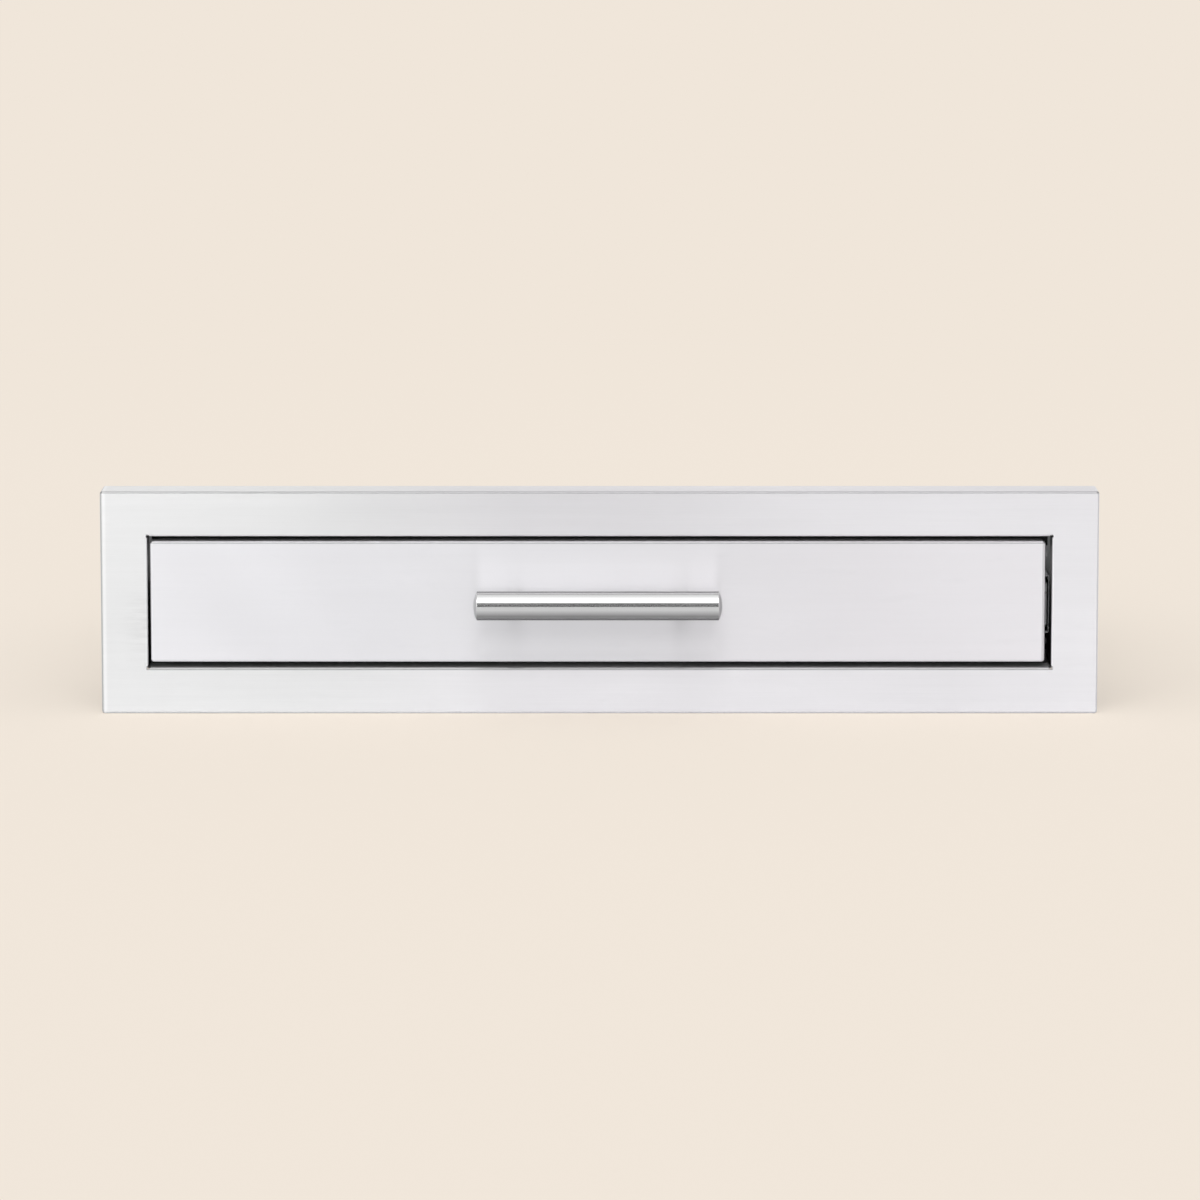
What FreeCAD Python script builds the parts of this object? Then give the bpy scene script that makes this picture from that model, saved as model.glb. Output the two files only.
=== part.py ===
"""Outdoor kitchen drawer unit: a framed stainless drawer that is built into an island.

Millimetres. X runs to the right seen from the front, Y into the island, Z up.
X = 0 is the middle of the face frame, Y = 0 is the island's face, where the back of the frame seats,
and Z = 0 is the underside of the housing. The drawer is closed.
"""

import math
import os

import FreeCAD
import Part

from FreeCAD import Vector

# Face frame: one folded sheet
frame_width = 762.0
frame_height = 171.5
frame_depth = 31.75
frame_sheet = 1.2
frame_bend_radius = 0.6
pan_corner_extra = 0.5
frame_hem_width = 10.0
side_rail_width = 36.0
top_rail_width = 34.65
bottom_rail_width = 35.7
opening_return_depth = 23.75
stop_lip_height = 10.0
corner_relief_radius = 1.4
corner_notch = 1.7
flap_setback = 0.4

# Housing that is fixed behind the frame
housing_sheet = 1.0
housing_bend_radius = 1.0
housing_length = 419.0
housing_lap = 22.0
wall_taper_start = 200.0
wall_rear_height = 78.0
wall_hem_width = 6.0
wall_hem_start = 6.0
back_flange_depth = 12.0
install_hole_radius = 2.6
install_hole_front = 40.0
install_hole_spacing_y = 260.0
install_hole_low = 12.0
install_hole_spacing_z = 68.0

# Ball-bearing slides
slide_start = 4.0
slide_rear_room = 14.0
slide_height = 45.0
slide_thickness = 12.7
slide_sheet = 1.2
slide_bend_radius = 0.5
slide_tip_setback = 1.0
outer_lip_height = 1.2
middle_tip_setback = 1.9
rear_buffer_length = 7.7
rear_buffer_height = 19.0
rear_buffer_thickness = 9.6
running_gap = 0.3
ball_radius = 2.1
ball_clearance = 0.1
ball_count = 7
outer_ball_offset = 6.0
inner_ball_offset = 7.8
cage_sheet = 0.6
cage_start = 120.0
cage_length = 160.0
cage_end_length = 6.0
cage_lip = 1.5

# Release lever on each inner member
lever_pivot_y = 180.0
lever_thickness = 5.0
lever_hub_radius = 4.5
lever_arm_length = 30.0
lever_arm_half_width = 2.5
lever_pad_length = 9.0
lever_pad_half_width = 3.6
lever_tail_length = 20.0
lever_tail_half_width = 2.0
lever_pin_radius = 1.95
lever_pin_clearance = 0.05
lever_pin_head_radius = 3.2
lever_pin_head_height = 0.7

# Drawer front: a hollow panel
front_side_gap = 3.2
front_bottom_gap = 4.2
front_top_gap = 3.8
front_side_shift = -1.4
front_thickness = 15.9
front_sheet = 1.2
front_bend_radius = 0.5
liner_sheet = 0.8
liner_flange_depth = 8.0
liner_bend_radius = 0.5
liner_gap = 0.1

# Drawer box
box_sheet = 1.0
box_bend_radius = 1.0
box_flange_depth = 12.0
tray_lift = 13.0
tray_top_room = 25.35
tray_rear_clearance = 19.0
tray_hem_width = 8.0
tray_hem_end_gap = 1.0
tray_hem_round = 0.9

# Handle
handle_radius = 11.0
handle_length = 189.0
handle_end_dome = 2.7
handle_end_round = 0.5
handle_reach = 36.0
handle_lift = 2.4
post_radius = 5.0
post_inset = 30.5
post_socket_depth = 4.0
post_fit = 0.05
sleeve_radius = 6.0

# Fasteners and bumpers
thread_fit = 0.05
hole_clearance = 0.1
handle_screw_radius = 2.5
handle_screw_engagement = 11.0
handle_screw_head_radius = 4.75
handle_screw_head_height = 3.0
tapped_hole_extra = 2.0
washer_radius = 6.0
washer_thickness = 1.0
head_access_gap = 2.0
front_screw_radius = 2.0
front_screw_head_radius = 4.2
front_screw_head_height = 2.4
front_screw_spacing_x = 500.0
front_screw_inset_z = 15.0
front_screw_adjustment = 1.6
weld_nut_flat_radius = 4.0
weld_nut_height = 3.2
screw_point_extra = 1.0
member_screw_radius = 2.0
member_screw_head_radius = 4.0
member_screw_head_height = 2.2
member_screw_length = 4.2
member_screw_inset = 50.0
screw_head_roundness = 0.5
drive_slot_width = 0.9
drive_slot_length = 4.4
drive_slot_depth = 1.2
rivet_radius = 1.6
rivet_head_radius = 3.2
rivet_head_height = 1.2
rivet_head_roundness = 0.7
slide_rivet_radius = 2.4
slide_rivet_head_radius = 4.2
slide_rivet_head_height = 1.5
slide_rivet_inset = 36.0
corner_rivet_inset_z = 10.0
back_rivet_low = 18.0
back_rivet_spacing_z = 44.0
bumper_radius = 3.0
bumper_inset_z = 7.0
bumper_stem_radius = 1.8
bumper_spacing = 460.0
bumper_barb_radius = 2.7
bumper_barb_height = 1.8
bumper_edge_round = 0.8

# Places that follow from the sizes above
X = Vector(1, 0, 0)
Y = Vector(0, 1, 0)
Z = Vector(0, 0, 1)
cut_margin = 5.0
same_place = 1e-4
face_y = -frame_depth
opening_half = frame_width / 2 - side_rail_width
opening_height = frame_height - top_rail_width - bottom_rail_width
sill_z = housing_sheet + frame_sheet
lintel_z = sill_z + opening_height
middle_z = (sill_z + lintel_z) / 2
frame_bottom_z = sill_z - bottom_rail_width
frame_top_z = lintel_z + top_rail_width
lip_back_y = face_y + opening_return_depth
wall_x = opening_half + frame_sheet
wall_outside_x = wall_x + housing_sheet
wall_top_z = lintel_z + frame_sheet
box_half = wall_x - slide_thickness
tray_bottom_z = housing_sheet + tray_lift
tray_top_z = lintel_z - tray_top_room
tray_floor_z = tray_bottom_z + box_sheet
box_inside_x = box_half - box_sheet
box_front_y = face_y + front_thickness
box_back_y = housing_length - housing_sheet - tray_rear_clearance
slide_z = (tray_bottom_z + tray_top_z) / 2
slide_end = housing_length - housing_sheet - slide_rear_room
member_end = slide_end - rear_buffer_length - running_gap
front_left_x = front_side_shift - opening_half + front_side_gap
front_right_x = front_side_shift + opening_half - front_side_gap
front_bottom_z = sill_z + front_bottom_gap
front_top_z = lintel_z - front_top_gap
skin_back_y = face_y + front_sheet
liner_front_y = box_front_y - liner_sheet
handle_y = face_y - handle_reach
handle_z = middle_z + handle_lift
ball_gap = ball_radius + ball_clearance
outer_ball_w = slide_height / 2 - slide_sheet - ball_gap
middle_half = outer_ball_w - ball_gap
inner_ball_w = middle_half - slide_sheet - ball_gap
inner_half = inner_ball_w - ball_gap
outer_cage_u = slide_sheet + running_gap
middle_u = outer_cage_u + cage_sheet + running_gap
inner_cage_u = middle_u + slide_sheet + running_gap
inner_tip_u = inner_cage_u + cage_sheet + running_gap
inner_web_u = slide_thickness - slide_sheet
lever_far_u = inner_web_u - running_gap
lever_near_u = lever_far_u - lever_thickness


def block(x0, x1, y0, y1, z0, z1):
    """A block between two corners."""
    return Part.makeBox(x1 - x0, y1 - y0, z1 - z0, Vector(x0, y0, z0))


def rod(radius, start, direction, length):
    """A round rod from a start point along a direction."""
    return Part.makeCylinder(radius, length, start, direction)


def mirrored(shape):
    """The same piece on the other side of the middle plane."""
    return shape.mirror(Vector(0, 0, 0), X)


def joined(shapes):
    """One solid from shapes that overlap or touch."""
    return shapes[0].fuse(shapes[1:]).removeSplitter()


def group(shapes):
    """Separate solids that share one node."""
    return Part.makeCompound(shapes)


def edges_where(shape, test):
    """The edges of a shape whose midpoint passes a test."""
    found = []
    for edge in shape.Edges:
        middle = edge.valueAt((edge.FirstParameter + edge.LastParameter) / 2)
        if test(middle, edge):
            found.append(edge)
    return found


def runs_along(edge, direction):
    """Whether an edge is a straight one parallel to a direction."""
    if edge.Curve.TypeId != "Part::GeomLine":
        return False
    return edge.Curve.Direction.cross(direction).Length < same_place


def near(a, b):
    """Whether two lengths are the same."""
    return abs(a - b) < same_place


def rounded(shape, radius, test):
    """A shape with the edges that pass a test rounded."""
    return shape.makeFillet(radius, edges_where(shape, test))


def extruded_xz(points, y0, y1):
    """An outline in the XZ plane, drawn along Y."""
    corners = [Vector(x, y0, z) for x, z in points]
    wire = Part.makePolygon(corners + [corners[0]])
    return Part.Face(wire).extrude(Y * (y1 - y0))


def extruded_yz(points, x0, x1):
    """An outline in the YZ plane, drawn along X."""
    corners = [Vector(x0, y, z) for y, z in points]
    wire = Part.makePolygon(corners + [corners[0]])
    return Part.Face(wire).extrude(X * (x1 - x0))


def folded_sheet(path, sheet, inside_radius, y0, y1):
    """A sheet folded in the XZ plane and drawn along Y.

    The path is its outer side as (x, z) points, and the sheet lies to the right of it.
    """
    points = [Vector(x, 0, z) for x, z in path]
    runs = [(b - a).normalize() for a, b in zip(points, points[1:])]
    normals = [Vector(run.z, 0, -run.x) for run in runs]
    inside = [points[0] + normals[0] * sheet]
    for corner, before, after in zip(points[1:-1], normals, normals[1:]):
        mitre = (before + after) / (1 + before.dot(after))
        inside.append(corner + mitre * sheet)
    inside.append(points[-1] + normals[-1] * sheet)
    outline = [(point.x, point.z) for point in points + inside[::-1]]
    solid = extruded_xz(outline, y0, y1)
    for bends, radius in ((points[1:-1], inside_radius + sheet), (inside[1:-1], inside_radius)):

        def is_bend(middle, edge, bends=bends):
            """Whether an edge is one of the bends on this side of the sheet."""
            at_bend = [bend for bend in bends if near(bend.x, middle.x) and near(bend.z, middle.z)]
            return bool(at_bend) and runs_along(edge, Y)

        solid = rounded(solid, radius, is_bend)
    return solid


def rounded_slab(x0, x1, y_flat, y_open, z0, z1, bend_radius):
    """A slab with rounded corners and a rounded edge round its flat face at y_flat."""
    solid = block(x0, x1, min(y_flat, y_open), max(y_flat, y_open), z0, z1)
    corner_radius = bend_radius + pan_corner_extra
    solid = rounded(solid, corner_radius, lambda middle, edge: runs_along(edge, Y))
    return rounded(solid, bend_radius, lambda middle, edge: near(middle.y, y_flat))


def pan(x0, x1, y_flat, y_open, z0, z1, sheet, inside_radius):
    """A folded pan: a flat sheet at y_flat with four flanges that reach to y_open."""
    way = math.copysign(1, y_open - y_flat)
    outside = rounded_slab(x0, x1, y_flat, y_open, z0, z1, inside_radius + sheet)
    inside = rounded_slab(
        x0 + sheet,
        x1 - sheet,
        y_flat + way * sheet,
        y_open + way * cut_margin,
        z0 + sheet,
        z1 - sheet,
        inside_radius,
    )
    return outside.cut(inside)


def domed_rivet(start, direction, shank_radius, grip, head_radius, head_height):
    """A rivet that is flush at the end of its grip, with a domed head before its start."""
    shank = rod(shank_radius, start, direction, grip)
    head = rod(head_radius, start, direction * -1, head_height)
    top = start - direction * head_height
    head = rounded(
        head,
        head_height * rivet_head_roundness,
        lambda middle, edge: near((middle - top).dot(direction), 0) and len(edge.Vertexes) == 1,
    )
    return joined([shank, head])


def pan_screw(seat, direction, radius, length, head_radius, head_height):
    """A pan-head screw with a cross recess. It lies along Y or X, and its head seats at seat."""
    shank = rod(radius, seat, direction, length)
    head = rod(head_radius, seat, direction * -1, head_height)
    top = seat - direction * head_height
    head = rounded(
        head,
        head_height * screw_head_roundness,
        lambda middle, edge: near((middle - top).dot(direction), 0) and len(edge.Vertexes) == 1,
    )
    screw = joined([shank, head])
    across = Z.cross(direction)
    for long_way, short_way in ((Z, across), (across, Z)):
        corner = top - long_way * (drive_slot_length / 2) - short_way * (drive_slot_width / 2)
        edges = [
            corner,
            corner + long_way * drive_slot_length,
            corner + long_way * drive_slot_length + short_way * drive_slot_width,
            corner + short_way * drive_slot_width,
            corner,
        ]
        slot = Part.Face(Part.makePolygon(edges)).extrude(direction * drive_slot_depth)
        screw = screw.cut(slot)
    return screw


def pair_x(spacing, middle=0.0):
    """Two places, half the spacing to each side of the middle."""
    return (middle - spacing / 2, middle + spacing / 2)


bumper_places = [
    (x, z)
    for x in pair_x(bumper_spacing)
    for z in (sill_z + bumper_inset_z, lintel_z - bumper_inset_z)
]
post_places = pair_x(handle_length - 2 * post_inset, front_side_shift)
front_screw_places = [
    (x, z)
    for x in pair_x(front_screw_spacing_x)
    for z in (tray_bottom_z + front_screw_inset_z, tray_top_z - front_screw_inset_z)
]
slide_rivet_places = (
    slide_start + slide_rivet_inset,
    (slide_start + slide_end) / 2,
    slide_end - slide_rivet_inset,
)
member_screw_places = (slide_start + member_screw_inset, member_end - member_screw_inset)
box_corner_y = (box_front_y + box_flange_depth / 2, box_back_y - box_flange_depth / 2)
box_corner_z = (tray_bottom_z + corner_rivet_inset_z, tray_top_z - corner_rivet_inset_z)
back_rivet_y = housing_length - back_flange_depth / 2
back_rivet_z = (back_rivet_low, back_rivet_low + back_rivet_spacing_z)
install_hole_y = (install_hole_front, install_hole_front + install_hole_spacing_y)
install_hole_z = (install_hole_low, install_hole_low + install_hole_spacing_z)


def face_frame():
    """The frame that is seen: outer returns with a hem, and returns with stop lips round the opening."""
    half = frame_width / 2
    frame = pan(
        -half,
        half,
        face_y,
        0,
        frame_bottom_z,
        frame_top_z,
        frame_sheet,
        frame_bend_radius,
    )
    frame_corner = frame_bend_radius + frame_sheet + pan_corner_extra
    hem_outside = block(-half, half, -frame_sheet, 0, frame_bottom_z, frame_top_z)
    hem_outside = rounded(hem_outside, frame_corner, lambda middle, edge: runs_along(edge, Y))
    hem_reach = frame_sheet + frame_hem_width
    hem_inside = block(
        -half + hem_reach,
        half - hem_reach,
        -frame_sheet - cut_margin,
        cut_margin,
        frame_bottom_z + hem_reach,
        frame_top_z - hem_reach,
    )
    tunnel = block(-wall_x, wall_x, face_y, lip_back_y, sill_z - frame_sheet, wall_top_z)
    frame = joined([frame, hem_outside.cut(hem_inside), tunnel])
    frame = frame.cut(
        block(-opening_half, opening_half, face_y - cut_margin, cut_margin, sill_z, lintel_z)
    )
    frame = rounded(
        frame,
        frame_bend_radius + frame_sheet,
        lambda middle, edge: near(middle.y, face_y)
        and abs(middle.x) < opening_half + same_place
        and sill_z - same_place < middle.z < lintel_z + same_place,
    )
    lip_half = opening_half - corner_notch
    lips = [
        block(-lip_half, lip_half, lip_back_y - frame_sheet, lip_back_y, z, z + stop_lip_height)
        for z in (sill_z, lintel_z - stop_lip_height)
    ]
    frame = joined([frame] + lips)
    for x in (-opening_half, opening_half):
        for z in (sill_z, lintel_z):
            relief = rod(corner_relief_radius, Vector(x, face_y - cut_margin, z), Y, 2 * cut_margin)
            notch_x = sorted((x - math.copysign(flap_setback, x), x + math.copysign(corner_notch, x)))
            down_or_up = -1 if z == sill_z else 1
            notch_z = sorted((z - down_or_up * flap_setback, z + down_or_up * corner_notch))
            notch = block(*notch_x, face_y + frame_sheet, cut_margin, *notch_z)
            frame = frame.cut(relief).cut(notch)
    stem_hole = bumper_stem_radius + thread_fit
    for x, z in bumper_places:
        start = Vector(x, lip_back_y - frame_sheet - cut_margin / 2, z)
        frame = frame.cut(rod(stem_hole, start, Y, frame_sheet + cut_margin))
    return frame


def front_stop_bumpers():
    """Rubber buffers pushed into the stop lips. The back of the drawer front closes against them."""
    bumpers = []
    lip_front_y = lip_back_y - frame_sheet
    head_front_y = box_front_y + running_gap
    for x, z in bumper_places:
        head = rod(bumper_radius, Vector(x, head_front_y, z), Y, lip_front_y - head_front_y)
        head = rounded(
            head,
            bumper_edge_round,
            lambda middle, edge: near(middle.y, head_front_y) and len(edge.Vertexes) == 1,
        )
        stem = rod(bumper_stem_radius, Vector(x, lip_front_y, z), Y, frame_sheet)
        barb = rod(bumper_barb_radius, Vector(x, lip_back_y, z), Y, bumper_barb_height)
        bumpers.append(joined([head, stem, barb]))
    return group(bumpers)


def housing_cradle():
    """The floor and side walls that carry the slides, one folded sheet with hems outside."""
    path = [
        (wall_outside_x, wall_top_z),
        (wall_outside_x, 0),
        (-wall_outside_x, 0),
        (-wall_outside_x, wall_top_z),
    ]
    cradle = folded_sheet(path, housing_sheet, housing_bend_radius, -housing_lap, housing_length)
    far = wall_outside_x + cut_margin
    above = wall_top_z + cut_margin
    slope = (wall_top_z - wall_rear_height) / (housing_length - wall_taper_start)
    beyond = housing_length + cut_margin
    taper = [
        (wall_taper_start, wall_top_z),
        (beyond, wall_rear_height - slope * cut_margin),
        (beyond, above),
        (wall_taper_start, above),
    ]
    cradle = cradle.cut(extruded_yz(taper, -far, far))
    hem = [
        (wall_hem_start, wall_top_z),
        (wall_taper_start, wall_top_z),
        (housing_length, wall_rear_height),
        (housing_length, wall_rear_height - wall_hem_width),
        (wall_taper_start, wall_top_z - wall_hem_width),
        (wall_hem_start, wall_top_z - wall_hem_width),
    ]
    hem_solid = extruded_yz(hem, wall_outside_x, wall_outside_x + housing_sheet)
    cradle = joined([cradle, hem_solid, mirrored(hem_solid)])
    holes = []
    for y in slide_rivet_places:
        holes.append(wall_hole(slide_rivet_radius + hole_clearance, y, slide_z))
    for z in back_rivet_z:
        holes.append(wall_hole(rivet_radius + hole_clearance, back_rivet_y, z))
    for y in install_hole_y:
        for z in install_hole_z:
            holes.append(wall_hole(install_hole_radius, y, z))
    return cradle.cut(holes + [mirrored(hole) for hole in holes])


def wall_hole(radius, y, z):
    """What is cut from the right-hand wall for a round hole."""
    start = Vector(wall_x - cut_margin / 2, y, z)
    return rod(radius, start, X, housing_sheet + cut_margin)


def housing_back():
    """The housing's back panel, a pan with its flanges towards the front."""
    back = pan(
        -wall_x,
        wall_x,
        housing_length,
        housing_length - back_flange_depth,
        housing_sheet,
        wall_rear_height,
        housing_sheet,
        housing_bend_radius,
    )
    for z in back_rivet_z:
        hole = rod(
            rivet_radius + hole_clearance,
            Vector(wall_x - housing_sheet - cut_margin / 2, back_rivet_y, z),
            X,
            housing_sheet + cut_margin,
        )
        back = back.cut([hole, mirrored(hole)])
    return back


def housing_back_rivets():
    """Rivets through the walls and the back panel's side flanges."""
    rivets = []
    for z in back_rivet_z:
        rivet = domed_rivet(
            Vector(wall_outside_x, back_rivet_y, z),
            X * -1,
            rivet_radius,
            2 * housing_sheet,
            rivet_head_radius,
            rivet_head_height,
        )
        rivets += [rivet, mirrored(rivet)]
    return group(rivets)


def slide_wall_rivets():
    """Rivets that hold the outer members to the walls, flush inside so that the balls pass."""
    rivets = []
    for y in slide_rivet_places:
        rivet = domed_rivet(
            Vector(wall_outside_x, y, slide_z),
            X * -1,
            slide_rivet_radius,
            housing_sheet + slide_sheet,
            slide_rivet_head_radius,
            slide_rivet_head_height,
        )
        rivets += [rivet, mirrored(rivet)]
    return group(rivets)


def slide_section(points, sheet, y0, y1):
    """A slide's member on the right-hand side.

    The points are (distance from the wall, height above the slide's middle), with the sheet to their right.
    """
    path = [(wall_x - u, slide_z + w) for u, w in points[::-1]]
    return folded_sheet(path, sheet, slide_bend_radius, y0, y1)


def outer_member():
    """The outer member, riveted to the wall, with lips that keep the balls in."""
    tip = slide_thickness - slide_tip_setback
    half = slide_height / 2
    lip = half - slide_sheet - outer_lip_height
    points = [(tip, -lip), (tip, -half), (0, -half), (0, half), (tip, half), (tip, lip)]
    member = slide_section(points, slide_sheet, slide_start, slide_end)
    for y in slide_rivet_places:
        start = Vector(wall_x + cut_margin / 2, y, slide_z)
        length = slide_sheet + cut_margin
        member = member.cut(rod(slide_rivet_radius + hole_clearance, start, X * -1, length))
    return member


def middle_member():
    """The middle member, between the two rows of balls."""
    tip = slide_thickness - middle_tip_setback
    points = [(tip, -middle_half), (middle_u, -middle_half), (middle_u, middle_half), (tip, middle_half)]
    return slide_section(points, slide_sheet, slide_start, member_end)


def inner_member():
    """The inner member, screwed to the drawer's side. It opens towards the wall."""
    points = [
        (inner_tip_u, inner_half),
        (slide_thickness, inner_half),
        (slide_thickness, -inner_half),
        (inner_tip_u, -inner_half),
    ]
    member = slide_section(points, slide_sheet, slide_start, member_end)
    holes = [(y, member_screw_radius + hole_clearance) for y in member_screw_places]
    holes.append((lever_pivot_y, lever_pin_radius + lever_pin_clearance))
    for y, radius in holes:
        start = Vector(box_half - cut_margin / 2, y, slide_z)
        member = member.cut(rod(radius, start, X, slide_sheet + cut_margin))
    return member


def ball_rows():
    """Where the balls of a cage lie along the slide."""
    end = cage_end_length + ball_radius
    pitch = (cage_length - 2 * end) / (ball_count - 1)
    first = cage_start + end
    return [first + pitch * number for number in range(ball_count)]


def ball_cage(web_u, ball_u, ball_w):
    """A strip cage: a web between two members and two edges with a hole for each ball."""
    edge_w = ball_w + cage_sheet / 2
    tip = ball_u + ball_gap + cage_lip
    points = [(tip, -edge_w), (web_u, -edge_w), (web_u, edge_w), (tip, edge_w)]
    cage = slide_section(points, cage_sheet, cage_start, cage_start + cage_length)
    height = cage_sheet + cut_margin / 2
    holes = []
    for y in ball_rows():
        for w in (-ball_w, ball_w):
            start = Vector(wall_x - ball_u, y, slide_z + w - height / 2)
            holes.append(rod(ball_gap, start, Z, height))
    return cage.cut(holes)


def balls(ball_u, ball_w):
    """The two rows of balls in a cage."""
    rows = []
    for y in ball_rows():
        for w in (-ball_w, ball_w):
            rows.append(Part.makeSphere(ball_radius, Vector(wall_x - ball_u, y, slide_z + w)))
    return group(rows)


def slide_rear_buffers():
    """Rubber blocks that the outer members hold at the back, where the closing drawer stops."""
    half = rear_buffer_height / 2
    buffer = block(
        wall_x - slide_sheet - rear_buffer_thickness,
        wall_x - slide_sheet,
        slide_end - rear_buffer_length,
        slide_end,
        slide_z - half,
        slide_z + half,
    )
    buffer = rounded(buffer, slide_bend_radius, lambda middle, edge: runs_along(edge, X))
    return group([buffer, mirrored(buffer)])


def arm_outline(length, half_width, end_length, end_half_width):
    """Half of a lever's outline in (y, z), from its pivot along +Y, with a wider pad at the end."""
    neck = length - end_length
    return [
        (0, -half_width),
        (neck, -half_width),
        (length - end_length / 2, -end_half_width),
        (length, -end_half_width),
        (length, end_half_width),
        (length - end_length / 2, end_half_width),
        (neck, half_width),
        (0, half_width),
    ]


def release_lever():
    """The plastic lever in the inner member, which frees the drawer when it is tipped."""
    near_x = wall_x - lever_far_u
    far_x = wall_x - lever_near_u
    arm = arm_outline(
        lever_arm_length, lever_arm_half_width, lever_pad_length, lever_pad_half_width
    )
    arm = [(lever_pivot_y - y, slide_z + z) for y, z in arm]
    tail = block(
        near_x,
        far_x,
        lever_pivot_y,
        lever_pivot_y + lever_tail_length,
        slide_z - lever_tail_half_width,
        slide_z + lever_tail_half_width,
    )
    centre = Vector(near_x, lever_pivot_y, slide_z)
    hub = rod(lever_hub_radius, centre, X, lever_thickness)
    lever = joined([extruded_yz(arm, near_x, far_x), tail, hub])
    bore = lever_pin_radius + lever_pin_clearance
    start = Vector(near_x - cut_margin / 2, lever_pivot_y, slide_z)
    return lever.cut(rod(bore, start, X, lever_thickness + cut_margin))


def lever_pins():
    """The pin that each release lever tips on, fixed in the inner member."""
    start = Vector(box_half, lever_pivot_y, slide_z)
    length = slide_thickness - lever_near_u + running_gap
    shank = rod(lever_pin_radius, start, X, length)
    head_start = start + X * length
    head = rod(lever_pin_head_radius, head_start, X, lever_pin_head_height)
    pin = joined([shank, head])
    return group([pin, mirrored(pin)])


def front_skin():
    """The sheet of the drawer front that is seen, a pan with its flanges to the back."""
    skin = pan(
        front_left_x,
        front_right_x,
        face_y,
        box_front_y,
        front_bottom_z,
        front_top_z,
        front_sheet,
        front_bend_radius,
    )
    for x in post_places:
        start = Vector(x, face_y - cut_margin / 2, handle_z)
        skin = skin.cut(rod(handle_screw_radius + hole_clearance, start, Y, front_sheet + cut_margin))
    return skin


def front_liner():
    """The sheet that closes the back of the drawer front, a pan inside the skin."""
    inset = front_sheet + liner_gap
    liner = pan(
        front_left_x + inset,
        front_right_x - inset,
        box_front_y,
        box_front_y - liner_flange_depth,
        front_bottom_z + inset,
        front_top_z - inset,
        liner_sheet,
        liner_bend_radius,
    )
    length = liner_sheet + cut_margin
    for x in post_places:
        start = Vector(x, liner_front_y - cut_margin / 2, handle_z)
        liner = liner.cut(rod(handle_screw_radius + hole_clearance, start, Y, length))
    for x, z in front_screw_places:
        start = Vector(x + front_side_shift, liner_front_y - cut_margin / 2, z)
        liner = liner.cut(rod(front_screw_radius + hole_clearance, start, Y, length))
    return liner


def front_weld_nuts():
    """Nuts welded inside the hollow front for its fixing screws."""
    nuts = []
    corner = weld_nut_flat_radius / math.cos(math.pi / 6)
    for x, z in front_screw_places:
        turns = [math.pi / 3 * number for number in range(6)]
        centre_x = x + front_side_shift
        outline = [(centre_x + corner * math.cos(t), z + corner * math.sin(t)) for t in turns]
        nut = extruded_xz(outline, liner_front_y - weld_nut_height, liner_front_y)
        start = Vector(centre_x, liner_front_y - weld_nut_height - cut_margin / 2, z)
        bore = rod(front_screw_radius + thread_fit, start, Y, weld_nut_height + cut_margin)
        nuts.append(nut.cut(bore))
    return group(nuts)


def front_fixing_screws():
    """Screws from inside the drawer box into the front's weld nuts."""
    seat_y = box_front_y + box_sheet
    length = box_sheet + liner_sheet + weld_nut_height + screw_point_extra
    screws = []
    for x, z in front_screw_places:
        screws.append(
            pan_screw(
                Vector(x + front_side_shift, seat_y, z),
                Y * -1,
                front_screw_radius,
                length,
                front_screw_head_radius,
                front_screw_head_height,
            )
        )
    return group(screws)


def drawer_tray():
    """The drawer box's floor and sides, one folded sheet with hemmed top edges."""
    path = [
        (box_half, tray_top_z),
        (box_half, tray_bottom_z),
        (-box_half, tray_bottom_z),
        (-box_half, tray_top_z),
    ]
    tray = folded_sheet(path, box_sheet, box_bend_radius, box_front_y, box_back_y)
    hem = block(
        box_inside_x - box_sheet,
        box_inside_x,
        box_front_y,
        box_back_y,
        tray_top_z - tray_hem_width,
        tray_top_z,
    )
    tray = joined([tray, hem, mirrored(hem)])
    tray = rounded(
        tray,
        tray_hem_round,
        lambda middle, edge: runs_along(edge, Y) and near(middle.z, tray_top_z),
    )
    end_length = box_flange_depth + tray_hem_end_gap
    for y0, y1 in (
        (box_front_y - cut_margin, box_front_y + end_length),
        (box_back_y - end_length, box_back_y + cut_margin),
    ):
        low = tray_top_z - tray_hem_width - tray_hem_end_gap
        ends = block(-box_inside_x, box_inside_x, y0, y1, low, tray_top_z + cut_margin)
        tray = tray.cut(ends)
    holes = [tray_hole(member_screw_radius + hole_clearance, y, slide_z) for y in member_screw_places]
    for y in box_corner_y:
        for z in box_corner_z:
            holes.append(tray_hole(rivet_radius + hole_clearance, y, z))
    return tray.cut(holes + [mirrored(hole) for hole in holes])


def tray_hole(radius, y, z):
    """What is cut from the drawer box's right-hand side for a round hole."""
    start = Vector(box_inside_x - cut_margin / 2, y, z)
    return rod(radius, start, X, box_sheet + cut_margin)


def box_end(y_flat, y_open):
    """A cross wall of the drawer box, a pan that is riveted between the sides."""
    wall = pan(
        -box_inside_x,
        box_inside_x,
        y_flat,
        y_open,
        tray_floor_z,
        tray_top_z,
        box_sheet,
        box_bend_radius,
    )
    for z in box_corner_z:
        start = Vector(box_inside_x - box_sheet - cut_margin / 2, (y_flat + y_open) / 2, z)
        hole = rod(rivet_radius + hole_clearance, start, X, box_sheet + cut_margin)
        wall = wall.cut([hole, mirrored(hole)])
    return wall


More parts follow.
